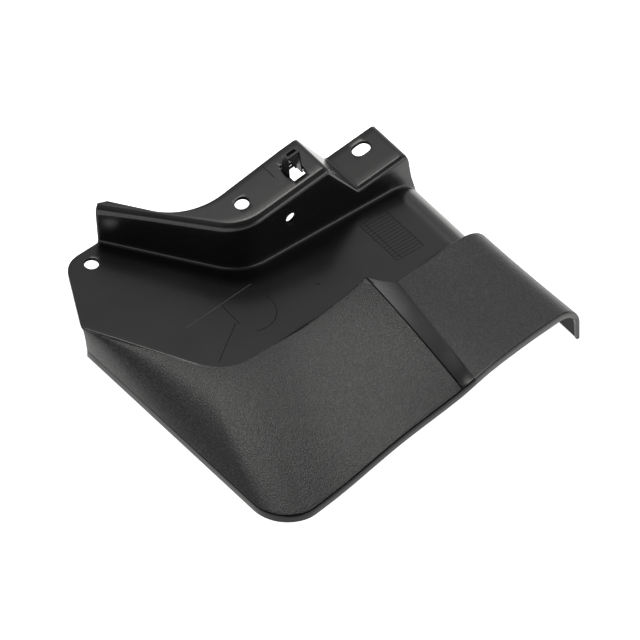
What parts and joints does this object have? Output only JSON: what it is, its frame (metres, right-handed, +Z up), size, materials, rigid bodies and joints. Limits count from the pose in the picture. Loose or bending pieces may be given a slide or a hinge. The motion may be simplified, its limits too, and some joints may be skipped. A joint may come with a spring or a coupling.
{
  "type": "mud flap",
  "caption": "Moulded black mud flap: flat plate, upright wall with a holed shelf and slotted tab, textured outer skin with a hemmed edge, and a snap-in clip.",
  "frame": {"origin": "middle of the part's box, on the surface that the hem stands on", "axes": "+Z up, out of the plate's face; +X along the straight wall, from the tall shelf towards the slotted tab; +Y from the skin's front hem towards the wall and shelf"},
  "size_m": [0.245, 0.2466, 0.0819],
  "materials": {
    "moulding": "satin black polypropylene, smooth on the plate and wall, fine grain on the outer skin",
    "clip": "satin dark grey plastic"
  },
  "bodies": {
    "flap": {"flap_moulding": "moulding", "clip_cage": "clip"},
    "finger": {"clip_finger": "clip"}
  },
  "joints": [
    {"name": "finger_bend", "type": "hinge", "parent": "flap", "child": "finger", "pos_m": [0.0321, 0.05967, 0.07937], "axis": [1, 0, 0], "range_deg": [-6, 14], "stiffness_Nm_per_rad": 0.01}
  ]
}
